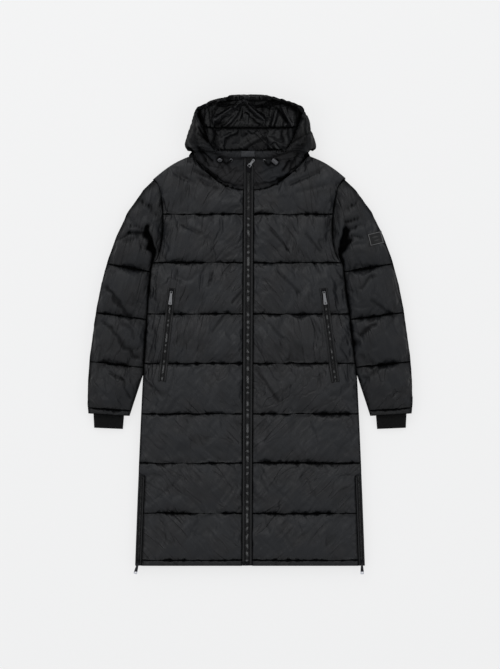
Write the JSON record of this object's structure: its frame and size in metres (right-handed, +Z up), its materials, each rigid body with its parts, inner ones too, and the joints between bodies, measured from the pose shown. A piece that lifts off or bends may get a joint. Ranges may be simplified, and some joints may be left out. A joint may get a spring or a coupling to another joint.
{
  "type": "hooded puffer coat",
  "caption": "Long hooded puffer coat in black quilted nylon, zipped to the chin and laid flat, with rib cuffs, zipped pockets and side vents.",
  "frame": {"origin": "on the surface that the coat lies on, under the middle of its bounding box", "axes": "+X towards the wearer's left, +Y along the coat towards the hood, +Z up from the surface, the way the zipped front faces"},
  "size_m": [0.8758, 1.2903, 0.0968],
  "materials": {
    "shell_nylon": "matte black downproof nylon with a soft sheen",
    "lining_taffeta": "smooth black taffeta",
    "rib_knit": "matte black ribbed knit",
    "zip_tape": "matte black woven tape",
    "zip_coil": "dark grey nylon coil",
    "black_metal": "satin black enamel",
    "bright_metal": "satin nickel",
    "patch_cloth": "dark grey woven patch with a stitched border",
    "cord": "black braided round cord",
    "gunmetal": "glossy gunmetal lacquer"
  },
  "bodies": {
    "coat": {"back_panel": "shell_nylon", "front_left": "shell_nylon", "front_right": "shell_nylon", "sleeve_left": "shell_nylon", "sleeve_right": "shell_nylon", "cuff_left": "rib_knit", "cuff_right": "rib_knit", "hood_side_left": "shell_nylon", "hood_side_right": "shell_nylon", "hood_crown": "shell_nylon", "hood_lining": "lining_taffeta", "neck_facing": "shell_nylon", "chin_guard": "shell_nylon", "zip_tape_left": "zip_tape", "zip_tape_right": "zip_tape", "zip_coil": "zip_coil", "zip_box": "black_metal", "zip_slider": "black_metal", "pocket_zip_left": "zip_tape", "pocket_zip_right": "zip_tape", "pocket_slider_left": "black_metal", "pocket_slider_right": "black_metal", "side_zip_left": "zip_tape", "side_zip_right": "zip_tape", "side_slider_left": "black_metal", "side_slider_right": "black_metal", "sleeve_patch": "patch_cloth", "eyelet_left": "gunmetal", "eyelet_right": "gunmetal", "drawcord_left": "cord", "drawcord_right": "cord", "cord_stop_left": "gunmetal", "cord_stop_right": "gunmetal"},
    "front_pull": {"zip_pull": "bright_metal"},
    "left_pocket_pull": {"pocket_pull_left": "bright_metal"},
    "right_pocket_pull": {"pocket_pull_right": "bright_metal"},
    "left_side_pull": {"side_pull_left": "bright_metal"},
    "right_side_pull": {"side_pull_right": "bright_metal"}
  },
  "joints": [
    {"name": "front_pull_hinge", "type": "hinge", "parent": "coat", "child": "front_pull", "pos_m": [-0.0036, 0.4505, 0.06224], "axis": [0.7943, -0.5771, -0.1901], "range_deg": [0, 130]},
    {"name": "left_pocket_pull_hinge", "type": "hinge", "parent": "coat", "child": "left_pocket_pull", "pos_m": [0.19837, 0.11573, 0.05039], "axis": [-0.9916, -0.1294, 0.005], "range_deg": [0, 150]},
    {"name": "right_pocket_pull_hinge", "type": "hinge", "parent": "coat", "child": "right_pocket_pull", "pos_m": [-0.21116, 0.1157, 0.05041], "axis": [-0.9944, 0.1057, -0.0049], "range_deg": [0, 150]},
    {"name": "left_side_pull_hinge", "type": "hinge", "parent": "coat", "child": "left_side_pull", "pos_m": [0.30101, -0.6122, 0.0267], "axis": [-0.9994, -0.036, 0], "range_deg": [0, 150]},
    {"name": "right_side_pull_hinge", "type": "hinge", "parent": "coat", "child": "right_side_pull", "pos_m": [-0.30101, -0.6122, 0.0267], "axis": [-0.97, 0.243, 0], "range_deg": [0, 150]}
  ]
}
